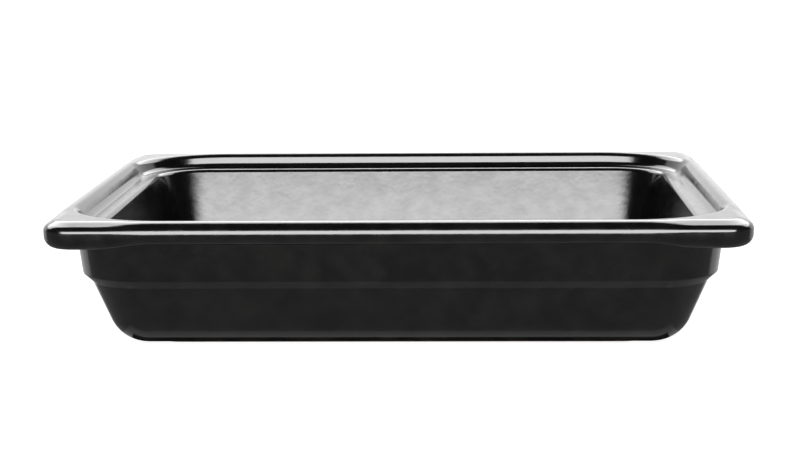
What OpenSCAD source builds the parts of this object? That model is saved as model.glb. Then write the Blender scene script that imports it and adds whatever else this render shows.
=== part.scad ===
// Glazed stoneware baking dish, made to the half size of the kitchen pan standard.
// X runs along the length, Y from front to back, and Z up from the table under the foot.
// Lengths are in millimetres and angles in degrees.

/* [Dish] */
// Length over the rim
dish_w = 325; // [280:1:530]
// Depth from front to back over the rim
dish_d = 265; // [200:1:400]
// Height from the foot to the top of the rim
dish_h = 65; // [50:1:100]

/* [Rim] */
// Thickness of the rolled rim, from top to underside
rim_t = 11; // [8:0.5:13]
// Corner radius of the rim, seen from above
rim_corner_r = 15; // [12:1:30]
// Width of the flat on top of the rim
rim_flat = 0.5; // [0.2:0.1:2]
// Rounding of the rim's inner edge
rim_in_r = 3; // [2:0.5:3.5]
// Lean of the rim's inner face from upright
rim_in_draft = 10; // [5:1:20]
// How far the rim stands out past the top of the wall
overhang = 10; // [9:0.5:16]
// Rounding between the rim's underside and the wall
cove_r = 2.5; // [1:0.5:3.5]

/* [Lid ledge] */
// Depth of the ledge below the top of the rim
ledge_drop = 7.5; // [7:0.5:10]
// Width of the ledge that a lid sits on, from the rim's inner face
ledge_w = 10.4; // [8:0.1:14]
// Rounding at the foot of the rim's inner face, where it meets the ledge
ledge_fillet = 3; // [1:0.5:3.5]
// Rounding of the edge where the ledge turns down into the dish
lip_r = 2.5; // [1.5:0.5:4]

/* [Walls] */
// Height of the upper band, from the rim's underside to the shoulder
band_h = 18.3; // [14:0.1:22]
// Lean of the upper band from upright
band_draft = 7; // [2:0.5:12]
// How far the shoulder steps in under the band
shoulder_in = 4.4; // [2:0.1:6]
// Height of the shoulder's slope
shoulder_drop = 4.1; // [2:0.1:6]
// Rounding of the shoulder's two edges
shoulder_r = 1.5; // [1:0.1:2]
// Lean of the lower wall from upright
wall_draft = 23.5; // [18:0.5:30]
// Thickness of the lower wall at the floor, square to its outer face
wall_t = 6; // [5:0.5:9]

/* [Base] */
// Thickness of the floor
floor_t = 7; // [5:0.5:10]
// Rounding under the dish, from the wall to the base
base_r = 19; // [8:1:22]
// Corner radius of the flat base, seen from above
base_corner_r = 2; // [1:1:12]
// Rounding inside the dish, from the wall to the floor
floor_r = 14; // [8:1:20]
// Corner radius of the flat floor, seen from above
floor_corner_r = 15; // [6:1:20]
// Height of the bare foot ring
foot_h = 1.5; // [0.5:0.1:2.5]
// Width of the foot ring
foot_w = 8; // [4:1:9]
// Distance of the foot ring from the edge of the flat base
foot_set = 3; // [2:1:8]
// Corner radius of the foot ring, seen from above
foot_corner_r = 12; // [10:1:24]

/* [Glaze] */
// Thickness of the glaze
glaze_t = 0.5; // [0.3:0.1:0.7]

/* [Hidden] */

// The largest turn that one straight step of a rounding takes
arc_step = 11.25;
// How far a cutter runs past the face that it opens
past = 2;

rim_r = rim_t / 2;
rim_under = dish_h - rim_t;
ledge_z = dish_h - ledge_drop;
rim_in = rim_r + rim_flat + rim_in_r * tan(45 - rim_in_draft / 2);
ledge_start = rim_in + ledge_drop * tan(rim_in_draft);
ledge_end = ledge_start + ledge_w;
band_foot = rim_under - band_h;
band_end = overhang + band_h * tan(band_draft);
shoulder_foot = band_foot - shoulder_drop;
shoulder_end = band_end + shoulder_in;
floor_z = foot_h + floor_t;

// Inset of the lower wall's outer face at height z
function outer_wall(z) = shoulder_end + (shoulder_foot - z) * tan(wall_draft);

// The inner wall runs straight from the ledge to this inset at the floor, with this lean from upright
inner_foot = outer_wall(floor_z) + wall_t / cos(wall_draft);
inner_draft = atan2(inner_foot - ledge_end, ledge_z - floor_z);

// A length to the nearest tenth, for the insets at which pieces of one solid meet
function to_tenth(length) = round(10 * length) / 10;

// Insets of the flat base's edge and the flat floor's edge, and of the points that the corners turn about
base_edge = outer_wall(foot_h) + base_r * tan(45 - wall_draft / 2);
floor_edge = inner_foot + floor_r * tan(45 - inner_draft / 2);
body_turn = to_tenth(base_edge + base_corner_r);
inside_turn = to_tenth(floor_edge + floor_corner_r);
foot_edge = to_tenth(base_edge + foot_set);

// Each corner of a section is [inset from the rim's edge, height, rounding], from the top down
rim_section = [
    [rim_corner_r, dish_h, 0],
    [0, dish_h, rim_r],
    [0, rim_under, rim_r],
    [rim_corner_r, rim_under, 0]
];
body_section = [
    [(rim_r + overhang - cove_r) / 2, rim_under, 0],
    [overhang, rim_under, cove_r],
    [band_end, band_foot, shoulder_r],
    [shoulder_end, shoulder_foot, shoulder_r],
    [outer_wall(foot_h), foot_h, base_r],
    [body_turn, foot_h, 0]
];
inside_section = [
    [0, dish_h, 0],
    [rim_in, dish_h, rim_in_r],
    [ledge_start, ledge_z, ledge_fillet],
    [ledge_end, ledge_z, lip_r],
    [inner_foot, floor_z, floor_r],
    [inside_turn, floor_z, 0]
];

function unit(v) = v / norm(v);
function turned(v, a) = [v.x * cos(a) - v.y * sin(a), v.x * sin(a) + v.y * cos(a)];

// The rounding of radius r at corner b between the points a and c
function rounding(a, b, c, r) =
    let (u = unit(b - a), v = unit(c - b), turn = atan2(cross(u, v), u * v))
    let (start = b - u * r * tan(abs(turn) / 2), spoke = turned(u, turn > 0 ? -90 : 90) * r)
    let (steps = max(2, ceil(abs(turn) / arc_step)))
    [for (i = [0:steps]) start - spoke + turned(spoke, turn * i / steps)];

// A section's outline as points, with its roundings drawn in and no point twice
function outline(section) =
    let (p = [for (s = section) [s[0], s[1]]], last = len(p) - 1)
    let (r = [for (s = section) s[2]])
    let (all = [for (i = [0:last]) each (r[i] == 0 ? [p[i]] : rounding(p[i - 1], p[i], p[i + 1], r[i]))])
    [for (i = [0:len(all) - 1]) if (i == 0 || norm(all[i] - all[max(i - 1, 0)]) > 0.001) all[i]];

function side_of(a, b) = turned(unit(b - a), 90);

// An outline moved sideways by t, towards the left of its own direction
function beside(p, t) =
    let (last = len(p) - 1)
    [for (i = [0:last])
        let (before = side_of(p[max(i - 1, 0)], p[max(i, 1)]))
        let (after = side_of(p[min(i, last - 1)], p[min(i + 1, last)]))
        p[i] + t * (before + after) / (1 + before * after)];

// A solid whose edge follows an outline all round, down to an end point that is inset by turn_in.
// Its corners turn about points that are inset as far.
module swept(path, turn_in) {
    top = path[0].y;
    bottom = path[len(path) - 1].y;
    half = concat([for (p = path) [turn_in - p.x, p.y]], [[0, top]]);
    inner = [dish_w - 2 * turn_in, dish_d - 2 * turn_in];
    translate([-inner.x / 2, -inner.y / 2, bottom]) cube([inner.x, inner.y, top - bottom]);
    for (side = [0:3]) {
        out = inner[side % 2] / 2;
        along = inner[1 - side % 2];
        rotate(90 * side) translate([out, 0, 0]) {
            rotate([90, 0, 0]) linear_extrude(along, center = true) polygon(half);
            translate([0, along / 2, 0]) rotate_extrude(angle = 90, $fn = 96) polygon(half);
        }
    }
}

// A flat plate from z0 to z1 with its edge inset from the rim's edge
module plate(inset, r, z0, z1) {
    w = dish_w - 2 * inset;
    d = dish_d - 2 * inset;
    translate([0, 0, z0]) linear_extrude(z1 - z0) {
        square([w - 2 * r, d], center = true);
        square([w, d - 2 * r], center = true);
        for (x = [-1, 1], y = [-1, 1]) translate([x * (w / 2 - r), y * (d / 2 - r)]) circle(r, $fn = 96);
    }
}

// The outside form, filled in, with its surface set in by t
module outside_form(t) {
    body = beside(outline(body_section), t);
    swept(beside(outline(rim_section), t), rim_corner_r);
    swept(concat([[body[0].x, rim_under + rim_r]], body), body_turn);
}

// What is open inside the dish, with its surface set back into the clay by t
module inside_form(t) {
    path = beside(outline(inside_section), -t);
    swept(concat([[path[0].x, dish_h + past]], path), inside_turn);
}

// The part of the rim's top that the inside glaze covers, as a plate of thickness t
module rim_top(t, above = 0) {
    plate(rim_r, rim_corner_r - rim_r, dish_h - t, dish_h + above);
}

module foot_ring() {
    difference() {
        plate(foot_edge, foot_corner_r, 0, foot_h + glaze_t);
        plate(foot_edge + foot_w, foot_corner_r - foot_w, -past, foot_h + glaze_t + past);
    }
}

// The fired clay, bare only at its foot
module stoneware_body() color([0.24, 0.21, 0.19]) {
    difference() {
        outside_form(glaze_t);
        inside_form(glaze_t);
    }
    foot_ring();
}

// Glaze over the top of the rim, the lid ledge and the inside of the dish
module inside_glaze() color([0.05, 0.05, 0.055]) {
    difference() {
        intersection() {
            union() {
                inside_form(glaze_t);
                rim_top(glaze_t);
            }
            plate(rim_r, rim_corner_r - rim_r, 0, dish_h);
        }
        inside_form(0);
    }
}

// Glaze round the outside, from the top of the rim to the foot ring
module outside_glaze() color([0.04, 0.04, 0.045]) {
    difference() {
        outside_form(0);
        outside_form(glaze_t);
        rim_top(rim_r, past);
        plate(foot_edge, foot_corner_r, -past, foot_h + glaze_t);
    }
}

// Glaze on the hollow of the base, inside the foot ring
module underside_glaze() color([0.06, 0.06, 0.065]) {
    plate(foot_edge + foot_w, foot_corner_r - foot_w, foot_h, foot_h + glaze_t);
}

stoneware_body();
inside_glaze();
outside_glaze();
underside_glaze();
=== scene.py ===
import math

import bmesh
import bpy
from mathutils import Matrix, Vector


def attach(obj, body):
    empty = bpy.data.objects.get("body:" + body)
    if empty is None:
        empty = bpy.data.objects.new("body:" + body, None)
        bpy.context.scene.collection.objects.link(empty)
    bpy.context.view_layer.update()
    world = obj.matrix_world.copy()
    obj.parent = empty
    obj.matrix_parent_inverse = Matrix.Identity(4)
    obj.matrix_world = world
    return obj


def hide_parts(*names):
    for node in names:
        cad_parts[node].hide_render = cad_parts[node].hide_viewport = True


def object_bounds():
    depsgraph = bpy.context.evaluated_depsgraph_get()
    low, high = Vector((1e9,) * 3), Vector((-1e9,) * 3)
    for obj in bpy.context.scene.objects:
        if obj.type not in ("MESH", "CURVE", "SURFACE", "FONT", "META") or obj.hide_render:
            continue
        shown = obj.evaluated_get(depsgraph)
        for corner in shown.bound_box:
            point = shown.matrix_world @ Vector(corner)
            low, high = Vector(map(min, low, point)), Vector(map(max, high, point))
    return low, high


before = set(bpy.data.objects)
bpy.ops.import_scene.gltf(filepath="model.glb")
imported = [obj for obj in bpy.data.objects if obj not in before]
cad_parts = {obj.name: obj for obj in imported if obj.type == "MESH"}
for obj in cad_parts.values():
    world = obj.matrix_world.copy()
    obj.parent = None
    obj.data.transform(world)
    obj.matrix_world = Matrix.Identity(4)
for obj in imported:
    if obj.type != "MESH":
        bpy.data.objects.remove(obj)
cadLow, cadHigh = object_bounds()
dishSize = cadHigh - cadLow
mm = 0.001
print("frame loaded:", ", ".join(sorted(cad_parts)))


# Camera: a long lens a metre in front of the dish, a little right of its middle and looking slightly down

cameraSet = {
    "place": Vector((31.9, -986.6, 200.9)) * mm,
    "down": 9.26,                # degrees below level
    "aside": -2.00,              # degrees to the right of straight ahead
    "roll": -0.50,
    "lens": 86.67,
}


def makeCamera(c):
    down, aside, roll = (math.radians(c[k]) for k in ("down", "aside", "roll"))
    ahead = Vector((math.sin(aside) * math.cos(down), math.cos(aside) * math.cos(down), -math.sin(down)))
    level = Vector((math.cos(aside), -math.sin(aside), 0))
    upright = level.cross(ahead)
    right = level * math.cos(roll) + upright * math.sin(roll)
    up = upright * math.cos(roll) - level * math.sin(roll)
    data = bpy.data.cameras.new("photoCamera")
    data.lens = c["lens"]
    data.clip_start = 0.01
    camera = bpy.data.objects.new("photoCamera", data)
    bpy.context.collection.objects.link(camera)
    camera.matrix_world = Matrix.Translation(c["place"]) @ Matrix((right, up, -ahead)).transposed().to_4x4()
    bpy.context.scene.camera = camera


makeCamera(cameraSet)
bpy.context.scene.view_settings.view_transform = "Standard"
print("camera placed")


# The section of the dish: insets run inwards from the rim's edge, heights up from the table, both in mm

dish = {
    "rimRound": 5.5,             # half the rim's thickness
    "rimTurn": 15,               # insets of the points that the corners turn about: the rim's outer edge,
    "recessTurn": 56,            # the recess inside the rim,
    "cavityTurn": 48,            # and the walls and floor under the ledge
    "overhang": 10,
    "cove": 2.5,
    "rimFlat": 0.5,
    "edgeRound": 3,              # the rim's inner edge
    "faceLean": 10,              # the rim's inner face, in degrees from upright
    "sideLeans": (21.5, 26),     # the same at the left and the right side,
    "leanStart": 1.2,            # from this depth below the top down,
    "leanTurns": (35, 80),       # and coming in between these degrees of a corner's turn
    "ledgeDrop": 7.5,
    "ledgeWidth": 10.4,
    "ledgeFillet": 3,
    "lip": 2.5,
    "bandHeight": 18.3,
    "bandLean": 7,               # degrees from upright
    "shoulderIn": 4.4,
    "shoulderDrop": 4.1,
    "shoulderRound": 1.5,
    "wallLean": 23.5,
    "wallThickness": 6,          # at the floor, square to the outer face
    "baseRound": 19,
    "baseCorner": 2,             # corner radius of the flat base, seen from above
    "floorThickness": 7,
    "floorRound": 14,
    "footHeight": 1.5,
    "footWidth": 8,
    "footSet": 3,                # from the edge of the flat base to the foot
    "footCorner": 12,
    "footRound": 0.45,
    "glaze": 0.5,
    "crestWidth": 0.3,           # strip of the rim's top in which the corners' turning points move
    "seamStrip": 0.05,
    "step": 5.7,                 # degrees that one step of a rounding takes
    "flatSteps": 6,              # steps across the flat floor, and across the hollow of the base
    "crestSteps": 16,            # steps of the turning points' move on the crest,
    "underSteps": 10,            # under the rim
    "footSteps": 4,              # and between the base's edge and the foot
}


def tan(degrees):
    return math.tan(math.radians(degrees))


def rounded(knots):
    # Points of a line whose corners (inset, height, radius) are drawn with their roundings
    points = []
    for i, (inset, level, radius) in enumerate(knots):
        spot = Vector((inset, level))
        if not radius:
            points.append(spot)
            continue
        came = (spot - Vector(knots[i - 1][:2])).normalized()
        goes = (Vector(knots[i + 1][:2]) - spot).normalized()
        turn = math.atan2(came.x * goes.y - came.y * goes.x, came.dot(goes))
        start = spot - came * radius * math.tan(abs(turn) / 2)
        middle = start + Vector((-came.y, came.x)) * math.copysign(radius, turn)
        spoke = start - middle
        count = math.ceil(abs(turn) / math.radians(dish["step"]))
        points += [middle + Matrix.Rotation(turn * j / count, 2) @ spoke for j in range(count + 1)]
    return points


def beside(points, t):
    # The line moved t to the left of its own direction
    moved = []
    last = len(points) - 1
    for i, spot in enumerate(points):
        ways = (spot - points[max(i - 1, 0)], points[min(i + 1, last)] - spot)
        sides = [Vector((-way.y, way.x)).normalized() for way in ways if way.length > 0]
        middle = (sides[0] + sides[-1]) / 2
        moved.append(spot + middle * t / middle.dot(middle))
    return moved


def between(a, b, count):
    # The inner points of a stretch that is cut into equal steps
    return [a + (b - a) * (j / count) for j in range(1, count)]


def dishSizes(d):
    # What follows from the dish's dimensions. A name that ends in Turn is the inset that corners turn about.
    top = dishSize.z / mm
    under = top - 2 * d["rimRound"]
    bandFoot = under - d["bandHeight"]
    bandEnd = d["overhang"] + d["bandHeight"] * tan(d["bandLean"])
    shoulderFoot = bandFoot - d["shoulderDrop"]
    ledge = top - d["ledgeDrop"]
    rimIn = d["rimRound"] + d["rimFlat"] + d["edgeRound"] * tan(45 - d["faceLean"] / 2)
    ledgeStart = rimIn + d["ledgeDrop"] * tan(d["faceLean"])
    ledgeEnd = ledgeStart + d["ledgeWidth"]
    foot = d["footHeight"]
    floor = foot + d["floorThickness"]

    def outerWall(z):
        return bandEnd + d["shoulderIn"] + (shoulderFoot - z) * tan(d["wallLean"])

    innerFoot = outerWall(floor) + d["wallThickness"] / math.cos(math.radians(d["wallLean"]))
    baseEdge = outerWall(foot) + d["baseRound"] * tan(45 - d["wallLean"] / 2)
    return {
        "top": top,
        "under": under,
        "bandFoot": bandFoot,
        "bandEnd": bandEnd,
        "shoulderFoot": shoulderFoot,
        "shoulderEnd": bandEnd + d["shoulderIn"],
        "rimIn": rimIn,
        "ledge": ledge,
        "ledgeStart": ledgeStart,
        "ledgeEnd": ledgeEnd,
        "floor": floor,
        "innerFoot": innerFoot,
        "wallFoot": outerWall(foot),
        "bodyTurn": round(baseEdge + d["baseCorner"], 1),
        "footEdge": round(baseEdge + d["footSet"], 1),
        "footTurn": round(baseEdge + d["footSet"], 1) + d["footCorner"],
        "middle": dishSize.y / 2 / mm,
    }


sizes = dishSizes(dish)


def dishRows():
    # Every row of the dish's surface as (inset, height, turn), from the middle of the floor to the foot
    d = dish
    crest = d["rimRound"]
    top, under, floor, foot = sizes["top"], sizes["under"], sizes["floor"], d["footHeight"]
    cavityTurn, recessTurn, rimTurn = d["cavityTurn"], d["recessTurn"], d["rimTurn"]
    bodyTurn, footTurn, middle = sizes["bodyTurn"], sizes["footTurn"], sizes["middle"]

    inside = rounded([
        (cavityTurn, floor, 0),
        (sizes["innerFoot"], floor, d["floorRound"]),
        (sizes["ledgeEnd"], sizes["ledge"], d["lip"]),
        (sizes["ledgeStart"], sizes["ledge"], d["ledgeFillet"]),
        (sizes["rimIn"], top, d["edgeRound"]),
        (crest, top, 0),
    ])[1:-1]
    outside = rounded([
        (crest, top, 0),
        (0, top, crest),
        (0, under, crest),
        (crest, under, 0),
    ])[2:-1]
    body = rounded([
        (crest, under, 0),
        (d["overhang"], under, d["cove"]),
        (sizes["bandEnd"], sizes["bandFoot"], d["shoulderRound"]),
        (sizes["shoulderEnd"], sizes["shoulderFoot"], d["shoulderRound"]),
        (sizes["wallFoot"], foot, d["baseRound"]),
        (sizes["footEdge"], foot, 0),
    ])[1:-1]

    rows = [(middle, floor, middle)]
    for inset in between(middle, inside[0].x, d["flatSteps"]):
        share = (inset - inside[0].x) / (middle - inside[0].x)
        rows.append((inset, floor, cavityTurn + (middle - cavityTurn) * share))
    recessEnd = sizes["ledgeStart"] + d["ledgeFillet"]
    rows += [(p.x, p.y, cavityTurn if p.x > recessEnd else recessTurn) for p in inside]
    for turn in [recessTurn] + between(recessTurn, rimTurn, d["crestSteps"]) + [rimTurn]:
        share = (turn - rimTurn) / (recessTurn - rimTurn)
        rows.append((crest + d["seamStrip"] + (d["crestWidth"] - d["seamStrip"]) * share, top, turn))
    seam = len(rows)
    rows.append((crest, top, rimTurn))
    rows.append((crest - d["seamStrip"], top - d["seamStrip"] ** 2 / 2 / crest, rimTurn))
    rows += [(p.x, p.y, rimTurn) for p in outside]
    rows.append((crest, under, rimTurn))
    start = body[0].x
    for inset in between(crest, start, d["underSteps"]):
        rows.append((inset, under, rimTurn + (bodyTurn - rimTurn) * (inset - crest) / (start - crest)))
    rows += [(p.x, p.y, bodyTurn) for p in body]
    edge, footEdge = body[-1].x, sizes["footEdge"]
    for inset in between(edge, footEdge, d["footSteps"]) + [footEdge]:
        share = (inset - edge) / (footEdge - edge)
        rows.append((inset, foot, bodyTurn + (footTurn - bodyTurn) * share))
    return rows, seam


def withDepth(rows, t):
    # The same rows, t deeper in the clay
    moved = beside([Vector(row[:2]) for row in rows], t)
    return [(p.x, p.y, row[2]) for p, row in zip(moved, rows)]


surface, seam = dishRows()
clay = withDepth(surface, dish["glaze"])
print("section drawn:", len(surface), "rows")


# Geometry Nodes: carries a section round the dish, with a true rounding at each corner.
# A point of the section's mesh is one row, at (inset, turn, height).

def nodeMaker(tree):
    def add(kind, *values, **settings):
        node = tree.nodes.new(kind)
        for key, value in settings.items():
            setattr(node, key, value)
        for socket, value in zip([s for s in node.inputs if s.enabled], values):
            if isinstance(value, bpy.types.NodeSocket):
                tree.links.new(value, socket)
            elif value is not None:
                socket.default_value = value
        return node.outputs[0]
    return add


def makeSweepTree():
    tree = bpy.data.node_groups.new("sectionSweep", "GeometryNodeTree")
    tree.is_modifier = True
    for name, kind in (
        ("Section", "Geometry"), ("Length", "Float"), ("Depth", "Float"), ("Corner Steps", "Int"),
        ("Side Steps", "Int"), ("Crowding", "Float"), ("Finish", "Material"),
    ):
        tree.interface.new_socket(name, in_out="INPUT", socket_type="NodeSocket" + kind)
    tree.interface.new_socket("Dish", in_out="OUTPUT", socket_type="NodeSocketGeometry")
    add = nodeMaker(tree)
    inputs = tree.nodes.new("NodeGroupInput").outputs

    def maths(operation, *values):
        return add("ShaderNodeMath", *values, operation=operation)

    def wholePart(value, divisor):
        # Of a quotient, with a little added because it may come out a hair too low
        return maths("FLOOR", maths("ADD", maths("DIVIDE", value, divisor), 1e-4))

    # Rows and columns of a grid, one row for each point of the section
    rowCount = add("GeometryNodeAttributeDomainSize", inputs["Section"]).node.outputs["Point Count"]
    quarterSteps = maths("ADD", inputs["Corner Steps"], inputs["Side Steps"])
    columnCount = maths("MULTIPLY_ADD", quarterSteps, 4, 1)
    grid = add("GeometryNodeMeshGrid", 1, 1, columnCount, rowCount)
    index = add("GeometryNodeInputIndex")
    row = maths("MODULO", index, rowCount)
    column = wholePart(index, rowCount)

    # Which corner a column belongs to, how far it has turned, and how far it has run along the side after it
    quarter = wholePart(column, quarterSteps)
    step = maths("SUBTRACT", column, maths("MULTIPLY", quarter, quarterSteps))
    turned = maths("MINIMUM", maths("DIVIDE", step, inputs["Corner Steps"]), 1)
    past = maths("SUBTRACT", step, inputs["Corner Steps"])
    along = maths("MAXIMUM", maths("DIVIDE", past, inputs["Side Steps"]), 0)
    fromMiddle = maths("MULTIPLY_ADD", along, 2, -1)
    toEnd = maths("SUBTRACT", 1, maths("ABSOLUTE", fromMiddle))
    crowded = maths("SUBTRACT", 1, maths("POWER", toEnd, inputs["Crowding"]))
    run = maths("MULTIPLY_ADD", maths("MULTIPLY", crowded, maths("SIGN", fromMiddle)), 0.5, 0.5)

    # The turning point of the corner, or of a place on the side, as a share of the rectangle that they make
    def square(which):
        angle = maths("MULTIPLY_ADD", which, math.pi / 2, math.pi / 4)
        return [maths("MULTIPLY", maths(f, angle), math.sqrt(2)) for f in ("COSINE", "SINE")]

    here = square(quarter)
    there = square(maths("ADD", quarter, 1))
    share = [maths("ADD", a, maths("MULTIPLY", maths("SUBTRACT", b, a), run)) for a, b in zip(here, there)]
    angle = maths("MULTIPLY", maths("ADD", quarter, turned), math.pi / 2)

    sample = add("GeometryNodeSampleIndex", inputs["Section"], data_type="FLOAT_VECTOR").node
    tree.links.new(add("GeometryNodeInputPosition"), sample.inputs["Value"])
    tree.links.new(row, sample.inputs["Index"])
    inset, turn, level = add("ShaderNodeSeparateXYZ", sample.outputs[0]).node.outputs
    radius = maths("SUBTRACT", turn, inset)
    place = []
    for extent, portion, way in zip(("Length", "Depth"), share, ("COSINE", "SINE")):
        half = maths("SUBTRACT", maths("MULTIPLY", inputs[extent], 0.5), turn)
        place.append(maths("MULTIPLY_ADD", radius, maths(way, angle), maths("MULTIPLY", half, portion)))
    position = add("ShaderNodeCombineXYZ", place[0], place[1], level)

    moved = add("GeometryNodeSetPosition", grid, None, position)
    numbered = add("GeometryNodeStoreNamedAttribute", moved, None, "row", row,
                   data_type="INT", domain="POINT")
    closed = add("GeometryNodeMergeByDistance", numbered, None, 2e-6)
    smooth = add("GeometryNodeSetShadeSmooth", closed, None, True)
    real = add("GeometryNodeRealizeInstances", smooth)
    finished = add("GeometryNodeSetMaterial", real, None, inputs["Finish"])
    tree.links.new(finished, tree.nodes.new("NodeGroupOutput").inputs["Dish"])
    return tree


sweepTree = makeSweepTree()
print("sweep tree built:", len(sweepTree.nodes), "nodes")


def smoothstep(low, high, x):
    x = min(max((x - low) / (high - low), 0), 1)
    return x * x * (3 - 2 * x)


# The corners of the rim sagged a little towards their outer edge in the kiln. Lengths are in mm.
sag = {
    "slope": 25,                 # degrees
    "edgeRound": 3.4,
    "edgeHeight": 5.0,           # depth of the middle of the edge's rounding below the top
    "blend": 8,                  # rounding from the flat top into the slope
    "underDrop": 2.0,            # how far the rim's underside hangs down with the corner
    "underFades": (12, 16),      # depths below the top between which the hang dies out
    "ends": (28, 50),            # insets from the rim's ends between which the sag itself dies out
    "probe": 0.02,               # half the distance over which the sag's own slope is taken
}


def sagTop(reach):
    # Height of a sagged corner's top, reach being the distance inwards from the rim's edge
    s = sag
    slope = math.radians(s["slope"])
    leans = s["edgeRound"] * (1 - math.sin(slope))
    if reach < leans:
        return math.sqrt(s["edgeRound"] ** 2 - (s["edgeRound"] - reach) ** 2) - s["edgeHeight"]
    flat = leans + (s["edgeHeight"] - s["edgeRound"] * math.cos(slope)) / math.tan(slope)
    half = s["blend"] * math.tan(slope / 2)
    past = reach - flat
    if past >= half:
        return 0
    if past <= -half:
        return past * math.tan(slope)
    return -math.tan(slope) * (half - past) ** 2 / (4 * half)


def plainTop(reach):
    r = dish["rimRound"]
    return math.sqrt(r * r - (r - reach) ** 2) - r if reach < r else 0


def leanSides(mesh, rows):
    # The rim's inner face leans further at the two short sides than at the long ones
    rowOf = mesh.attributes["row"].data
    half = Vector((dishSize.x, dishSize.y)) / 2 / mm
    more = [tan(lean) - tan(dish["faceLean"]) for lean in dish["sideLeans"]]
    start = sizes["top"] - dish["leanStart"]
    for vertex in mesh.vertices:
        _, level, turn = rows[rowOf[vertex.index].value]
        if turn != dish["recessTurn"] or level > start:
            continue
        # Out from the corner's turning point, at 0 degrees towards a long side and 90 towards a short one
        away = Vector((abs(vertex.co.x), abs(vertex.co.y))) / mm - (half - Vector((turn, turn)))
        turned = math.degrees(math.atan2(away.x, away.y))
        share = 1 if away.y < 0 else smoothstep(*dish["leanTurns"], turned)
        if away.x <= 0 or share == 0:
            continue
        far = share * more[vertex.co.x > 0] * (start - level) * mm
        way = Vector((away.x, max(away.y, 0))).normalized() * far
        vertex.co.x -= math.copysign(way.x, vertex.co.x)
        vertex.co.y -= math.copysign(way.y, vertex.co.y)


def sagDrop(x, y, hang):
    # How far a point sinks. A row of the rim's top has None as its hang, any other row sinks by it.
    turn = dish["rimTurn"]
    inwards = (dishSize.x / 2 / mm - abs(x), dishSize.y / 2 / mm - abs(y))
    weight = 1 - smoothstep(*sag["ends"], max(inwards))
    if weight == 0 or hang is not None:
        return weight * (hang or 0)
    # The distance inwards from the rim's outline, round its corner too
    qx, qy = turn - inwards[0], turn - inwards[1]
    reach = max(turn - math.hypot(max(qx, 0), max(qy, 0)) - min(max(qx, qy), 0), 0)
    return weight * (plainTop(reach) - sagTop(reach))


def sagCorners(mesh, hangs):
    # Moves the points down, and tilts the plain form's normals by the slope of the sag
    probe = sag["probe"]
    rowOf = mesh.attributes["row"].data
    normals = [Vector(normal.vector) for normal in mesh.corner_normals]
    tilts = {}
    for vertex in mesh.vertices:
        x, y = vertex.co.x / mm, vertex.co.y / mm
        hang = hangs[rowOf[vertex.index].value]
        drop = sagDrop(x, y, hang)
        if drop:
            tilts[vertex.index] = [
                (sagDrop(x + dx, y + dy, hang) - sagDrop(x - dx, y - dy, hang)) / 2 / probe
                for dx, dy in ((probe, 0), (0, probe))
            ]
            vertex.co.z -= drop * mm
    for loop in mesh.loops:
        if loop.vertex_index in tilts:
            normal = normals[loop.index]
            tilt = tilts[loop.vertex_index]
            normal.x += normal.z * tilt[0]
            normal.y += normal.z * tilt[1]
            normal.normalize()
    mesh.normals_split_custom_set(normals)


def hangOf(rows):
    # The rim's underside and the top of the band hang down with the sagged edge
    depths = [sizes["top"] - level for _, level, _ in rows]
    rimHalf = dish["rimRound"] + 0.01    # takes in the row at the rim's very edge
    lastOver = max(i for i, depth in enumerate(depths) if depth <= rimHalf)
    hangs = [None if depth < rimHalf else 0 for depth in depths[:lastOver + 1]]
    for depth in depths[lastOver + 1:]:
        hangs.append(sag["underDrop"] * (1 - smoothstep(*sag["underFades"], depth)))
    return hangs


sweep = {
    "cornerSteps": 32,
    "sideSteps": 48,
    "crowding": 2.2,             # how far the steps along a side crowd towards its ends
    "sharp": 50,                 # degrees past which an edge stays sharp
}


def makeShell(name, rows, hangs, finish):
    # A closed piece whose section is rows, swept round the dish and then leaned and sagged
    mesh = bpy.data.meshes.new(name)
    mesh.from_pydata([Vector((inset, turn, level)) * mm for inset, level, turn in rows], [], [])
    shell = bpy.data.objects.new(name, mesh)
    bpy.context.collection.objects.link(shell)
    modifier = shell.modifiers.new("sweep", "NODES")
    modifier.node_group = sweepTree
    values = {
        "Length": dishSize.x,
        "Depth": dishSize.y,
        "Corner Steps": sweep["cornerSteps"],
        "Side Steps": sweep["sideSteps"],
        "Crowding": sweep["crowding"],
        "Finish": finish,
    }
    for item in sweepTree.interface.items_tree:
        if item.in_out == "INPUT" and item.name in values:
            modifier[item.identifier] = values[item.name]
    evaluated = shell.evaluated_get(bpy.context.evaluated_depsgraph_get())
    swept = bpy.data.meshes.new_from_object(evaluated)
    shell.modifiers.clear()
    shell.data = swept
    bpy.data.meshes.remove(mesh)
    swept.name = name
    leanSides(swept, rows)
    work = bmesh.new()
    work.from_mesh(swept)
    bmesh.ops.recalc_face_normals(work, faces=work.faces)
    openEdges = sum(not edge.is_manifold for edge in work.edges)
    work.to_mesh(swept)
    work.free()
    swept.set_sharp_from_angle(angle=math.radians(sweep["sharp"]))
    sagCorners(swept, hangs)
    swept.attributes.remove(swept.attributes["row"])
    print(name, len(swept.polygons), "faces,", openEdges, "open edges")
    return shell


# Materials

glazeSet = {
    "colour": (0.0050, 0.0050, 0.0054, 1),
    "cloud": (0.0100, 0.0095, 0.0090, 1),
    "roughness": (0.13, 0.18),
    "ior": 1.5,
    "cloudScale": 70,            # features to the metre
    "peelScale": 420,            # the same of the fine orange-peel surface
    "cloudHeight": 0.0012,
    "cloudStrength": 0.06,
    "peelHeight": 0.00002,
}

claySet = {
    "colour": (0.150, 0.128, 0.108, 1),
    "light": (0.260, 0.225, 0.190, 1),
    "speck": (0.045, 0.036, 0.030, 1),
    "roughness": (0.72, 0.92),
    "grainScale": 900,
    "grainDetail": (4, 0.6),
    "speckScale": 520,
    "speckEdge": (0.10, 0.22),   # from the middle of a speck to where its colour ends, as shares of a cell
    "pitHeight": 0.00012,
}


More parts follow.
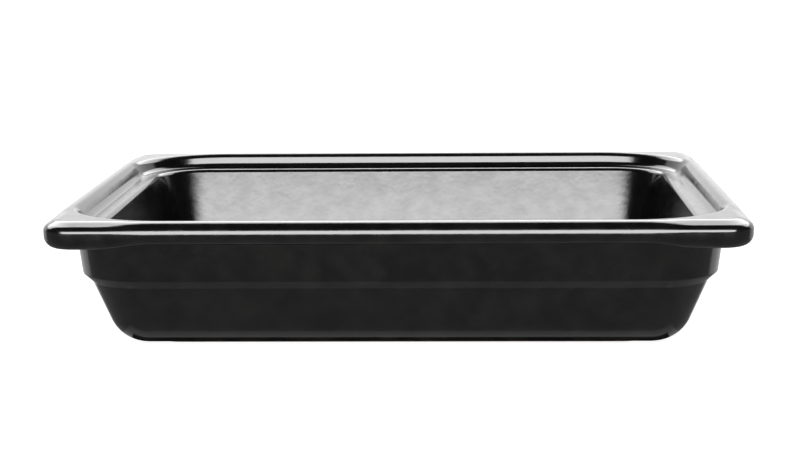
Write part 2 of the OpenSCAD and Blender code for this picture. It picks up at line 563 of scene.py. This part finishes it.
def newMaterial(name):
    material = bpy.data.materials.new(name)
    material.use_nodes = True
    tree = material.node_tree
    shader = next(node for node in tree.nodes if node.type == "BSDF_PRINCIPLED")
    add = nodeMaker(tree)
    return material, shader, add, add("ShaderNodeTexCoord").node.outputs["Object"]


def noise(add, at, scale, detail=2, roughness=0.5):
    node = add("ShaderNodeTexNoise").node
    at.node.id_data.links.new(at, node.inputs["Vector"])
    node.inputs["Scale"].default_value = scale
    node.inputs["Detail"].default_value = detail
    node.inputs["Roughness"].default_value = roughness
    return node.outputs["Fac"]


def spread(add, value, low, high):
    # Nearly all of a noise lies between 0.35 and 0.65
    return add("ShaderNodeMapRange", value, 0.35, 0.65, low, high)


def mixColour(share, a, b):
    tree = share.node.id_data
    node = tree.nodes.new("ShaderNodeMix")
    node.data_type = "RGBA"
    tree.links.new(share, node.inputs[0])
    for socket, value in ((node.inputs[6], a), (node.inputs[7], b)):
        if isinstance(value, bpy.types.NodeSocket):
            tree.links.new(value, socket)
        else:
            socket.default_value = value
    return node.outputs[2]


def bump(level, distance, under=None, strength=1):
    tree = level.node.id_data
    node = tree.nodes.new("ShaderNodeBump")
    node.inputs["Strength"].default_value = strength
    node.inputs["Distance"].default_value = distance
    tree.links.new(level, node.inputs["Height"])
    if under:
        tree.links.new(under, node.inputs["Normal"])
    return node.outputs["Normal"]


def makeGlaze(g):
    material, shader, add, at = newMaterial("blackGlaze")
    link = material.node_tree.links.new
    cloud = noise(add, at, g["cloudScale"])
    peel = noise(add, at, g["peelScale"], 1)
    smears = noise(add, at, g["cloudScale"] * 2, 3)
    link(mixColour(spread(add, cloud, 0, 1), g["colour"], g["cloud"]), shader.inputs["Base Color"])
    link(spread(add, smears, *g["roughness"]), shader.inputs["Roughness"])
    waves = bump(cloud, g["cloudHeight"], strength=g["cloudStrength"])
    link(bump(peel, g["peelHeight"], waves), shader.inputs["Normal"])
    shader.inputs["IOR"].default_value = g["ior"]
    return material


def makeClay(c):
    material, shader, add, at = newMaterial("stoneware")
    link = material.node_tree.links.new
    grain = noise(add, at, c["grainScale"], *c["grainDetail"])
    base = mixColour(spread(add, grain, 0, 1), c["colour"], c["light"])
    cells = add("ShaderNodeTexVoronoi").node
    link(at, cells.inputs["Vector"])
    cells.inputs["Scale"].default_value = c["speckScale"]
    speck = add("ShaderNodeMapRange", cells.outputs["Distance"], *c["speckEdge"], 1, 0)
    link(mixColour(speck, base, c["speck"]), shader.inputs["Base Color"])
    link(spread(add, grain, *c["roughness"]), shader.inputs["Roughness"])
    link(bump(grain, c["pitHeight"]), shader.inputs["Normal"])
    return material


glaze = makeGlaze(glazeSet)
stoneware = makeClay(claySet)
print("materials made")


# The pieces

def dress(piece, node):
    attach(piece, "root")
    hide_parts(node)


def footRows():
    # The bare ring that the dish stands on, and the clay of the hollow inside it
    turn, edge, middle = sizes["footTurn"], sizes["footEdge"], sizes["middle"]
    high = dish["footHeight"] + dish["glaze"]
    inner = edge + dish["footWidth"]
    ring = rounded([
        (edge, high, 0),
        (edge, 0, dish["footRound"]),
        (inner, 0, dish["footRound"]),
        (inner, high, 0),
    ])[1:]
    rows = [(p.x, p.y, turn) for p in ring]
    for inset in between(inner, middle, dish["flatSteps"]) + [middle]:
        rows.append((inset, high, turn + (middle - turn) * (inset - inner) / (middle - inner)))
    return rows


underside = {
    "edgeRound": 0.3,
    "edgeStrip": 0.4,            # from the edge to the first row of the plate
}


def undersideRows():
    # The glaze in the hollow of the base, a plate with a rounded lower edge
    turn, middle = sizes["footTurn"], sizes["middle"]
    edge = sizes["footEdge"] + dish["footWidth"]
    low = dish["footHeight"]
    high = low + dish["glaze"]
    start = edge + underside["edgeStrip"]
    rim = rounded([
        (start, high, 0),
        (edge, high, 0),
        (edge, low, underside["edgeRound"]),
        (start, low, 0),
    ])[1:-1]
    flat = [
        (inset, turn + (middle - turn) * (inset - edge) / (middle - edge))
        for inset in between(start, middle, dish["flatSteps"])
    ]
    rows = [(middle, high, middle)] + [(inset, high, t) for inset, t in reversed(flat)]
    rows += [(p.x, p.y, turn) for p in rim]
    rows += [(inset, low, t) for inset, t in flat] + [(middle, low, middle)]
    return rows


hang = hangOf(surface)
foot = footRows()
under = undersideRows()

insideGlaze = makeShell("insideGlaze", surface[:seam + 1] + clay[:seam + 1][::-1],
                        hang[:seam + 1] + hang[:seam + 1][::-1], glaze)
dress(insideGlaze, "inside_glaze")

outsideGlaze = makeShell("outsideGlaze", [surface[-1]] + clay[seam:][::-1] + surface[seam:],
                         [hang[-1]] + hang[seam:][::-1] + hang[seam:], glaze)
dress(outsideGlaze, "outside_glaze")

clayBody = makeShell("clayBody", clay + foot, hang + [0] * len(foot), stoneware)
dress(clayBody, "stoneware_body")

undersideGlaze = makeShell("undersideGlaze", under, [0] * len(under), glaze)
dress(undersideGlaze, "underside_glaze")


# Studio: a pale floor and far, soft-edged white panels, which show only in reflections

studio = {
    "floor": 12.0,               # half the floor's width, in metres as all lengths of the studio
    "floorGlow": 0.95,
    "floorColour": (0.75, 0.75, 0.75, 1),
    "floorRoughness": 0.9,
    "floorSpecular": 0.1,
    "distance": 5.0,             # from the dish to the front panel
    "apart": 0.2,                # how much nearer the panel behind is, and how much further the sweep
    "keySize": (2.4, 1.6),
    "keyHeight": 1.6,
    "keyEnergy": 12,
    "dark": 0.05,                # what reflections see of the room above the horizon
    "darkBelow": 0.22,           # and below it,
    "horizon": 0.02,             # with a soft edge between them
}

# Angles in degrees. A panel's run from the horizon behind the dish, over the top, to the horizon in front.
frontPanel = {
    "angles": (150, 185),
    "aside": 47,                 # how far the panel reaches to each side
    "fades": (5, 4, 2.5),        # softness of the first and second angle's edge, and of the two ends
    "glow": 16.0,
}

behindPanel = {
    "angles": (20, 67),
    "aside": 62,
    "fades": (6, 2, 8),
    "glow": 7.0,
}

paleSweep = {
    "heights": (-20, 24),
    "open": 115,                 # half the gap that the sweep leaves in front
    "turn": 5,                   # what one of its flat faces covers
    "glow": 1.55,
    "glowBelow": 0.9,
    "soft": 0.03,                # half the height of the change of glow, as a share of the distance
}

# The table under the dish as its underside mirrors it, in the shade and near it. Insets and gap in mm.
tablePatches = {
    "shadeInset": 33,            # from the rim's edge
    "litInset": 26,
    "litGlow": 0.42,
    "gap": 0.02,                 # between the table and the lit patch, and between the two patches
}


def emission(name):
    material = bpy.data.materials.new(name)
    material.use_nodes = True
    tree = material.node_tree
    tree.nodes.clear()
    shine = tree.nodes.new("ShaderNodeEmission")
    tree.links.new(shine.outputs[0], tree.nodes.new("ShaderNodeOutputMaterial").inputs["Surface"])
    return material, tree, shine.inputs["Strength"]


def stageCard(card):
    # A card that only shows in reflections
    bpy.context.collection.objects.link(card)
    card.visible_camera = card.visible_diffuse = card.visible_shadow = False


def makePanel(name, p, distance):
    first, second = (math.radians(a) for a in p["angles"])
    middle = (first + second) / 2
    ahead = Vector((0, math.cos(middle), math.sin(middle))) * distance
    up = Vector((0, -math.sin(middle), math.cos(middle))) * distance * math.tan((second - first) / 2)
    side = Vector((distance * tan(p["aside"]), 0, 0))
    mesh = bpy.data.meshes.new(name)
    mesh.from_pydata([ahead - up - side, ahead - up + side, ahead + up + side, ahead + up - side],
                     [], [(0, 1, 2, 3)])
    place = mesh.uv_layers.new(name="place").data
    for spot, uv in zip(place, ((0, 0), (1, 0), (1, 1), (0, 1))):
        spot.uv = uv
    material, tree, strength = emission(name)
    add = nodeMaker(tree)
    across, along, _ = add("ShaderNodeSeparateXYZ", add("ShaderNodeUVMap", uv_map="place")).node.outputs
    whole = p["angles"][1] - p["angles"][0]
    end = (1 - tan(p["aside"] - p["fades"][2]) / tan(p["aside"])) / 2
    level = p["glow"]
    for way, edge, full in ((along, 0, p["fades"][0] / whole), (along, 1, 1 - p["fades"][1] / whole),
                            (across, 0, end), (across, 1, 1 - end)):
        fade = add("ShaderNodeMapRange", way, edge, full, 0, 1, interpolation_type="SMOOTHSTEP")
        level = add("ShaderNodeMath", fade, level, operation="MULTIPLY")
    tree.links.new(level, strength)
    mesh.materials.append(material)
    stageCard(bpy.data.objects.new(name, mesh))


def makeSweep(p, distance):
    mesh = bpy.data.meshes.new("paleSweep")
    low, high = (distance * tan(a) for a in p["heights"])
    turns = [math.radians(a) for a in range(p["open"] - 90, 271 - p["open"], p["turn"])]
    points = [(distance * math.cos(a), distance * math.sin(a), z) for a in turns for z in (low, high)]
    mesh.from_pydata(points, [], [(i, i + 1, i + 3, i + 2) for i in range(0, len(points) - 2, 2)])
    material, tree, strength = emission("paleSweep")
    add = nodeMaker(tree)
    height = add("ShaderNodeSeparateXYZ", add("ShaderNodeTexCoord").node.outputs["Object"]).node.outputs["Z"]
    soft = p["soft"] * distance
    tree.links.new(add("ShaderNodeMapRange", height, -soft, soft, p["glowBelow"], p["glow"]), strength)
    mesh.materials.append(material)
    stageCard(bpy.data.objects.new("paleSweep", mesh))


def makeTablePatch(name, inset, height, glow):
    x, y, z = dishSize.x / 2 - inset * mm, dishSize.y / 2 - inset * mm, height * mm
    mesh = bpy.data.meshes.new(name)
    mesh.from_pydata([(-x, -y, z), (x, -y, z), (x, y, z), (-x, y, z)], [], [(0, 1, 2, 3)])
    material, _, strength = emission(name)
    strength.default_value = glow
    mesh.materials.append(material)
    stageCard(bpy.data.objects.new(name, mesh))


def makeStudio(s):
    patches = tablePatches
    makeTablePatch("shadedTable", patches["shadeInset"], 2 * patches["gap"], 0)
    makeTablePatch("litTable", patches["litInset"], patches["gap"], patches["litGlow"])
    makePanel("frontPanel", frontPanel, s["distance"])
    makePanel("behindPanel", behindPanel, s["distance"] - s["apart"])
    makeSweep(paleSweep, s["distance"] + s["apart"])

    floorMesh = bpy.data.meshes.new("floor")
    reach = s["floor"]
    floorMesh.from_pydata([(-reach, -reach, 0), (reach, -reach, 0), (reach, reach, 0), (-reach, reach, 0)],
                          [], [(0, 1, 2, 3)])
    material = bpy.data.materials.new("paleFloor")
    material.use_nodes = True
    shader = next(node for node in material.node_tree.nodes if node.type == "BSDF_PRINCIPLED")
    shader.inputs["Base Color"].default_value = s["floorColour"]
    shader.inputs["Roughness"].default_value = s["floorRoughness"]
    shader.inputs["Specular IOR Level"].default_value = s["floorSpecular"]
    shader.inputs["Emission Color"].default_value = (1, 1, 1, 1)
    shader.inputs["Emission Strength"].default_value = s["floorGlow"]
    floorMesh.materials.append(material)
    floor = bpy.data.objects.new("floor", floorMesh)
    bpy.context.collection.objects.link(floor)
    floor.visible_glossy = False

    key = bpy.data.lights.new("softKey", "AREA")
    key.shape = "RECTANGLE"
    key.size, key.size_y = s["keySize"]
    key.energy = s["keyEnergy"]
    keyObject = bpy.data.objects.new("softKey", key)
    bpy.context.collection.objects.link(keyObject)
    keyObject.location = (0, 0, s["keyHeight"])
    keyObject.visible_glossy = False

    world = bpy.data.worlds.new("studio")
    bpy.context.scene.world = world
    world.use_nodes = True
    add = nodeMaker(world.node_tree)
    up = add("ShaderNodeSeparateXYZ", add("ShaderNodeTexCoord").node.outputs["Generated"]).node.outputs["Z"]
    dim = add("ShaderNodeMapRange", up, -s["horizon"], s["horizon"], s["darkBelow"], s["dark"])
    seen = add("ShaderNodeLightPath").node.outputs["Is Camera Ray"]
    background = world.node_tree.nodes["Background"]
    world.node_tree.links.new(add("ShaderNodeMapRange", seen, 0, 1, dim, 1), background.inputs["Strength"])
    background.inputs["Color"].default_value = (1, 1, 1, 1)


makeStudio(studio)
print("studio lit")
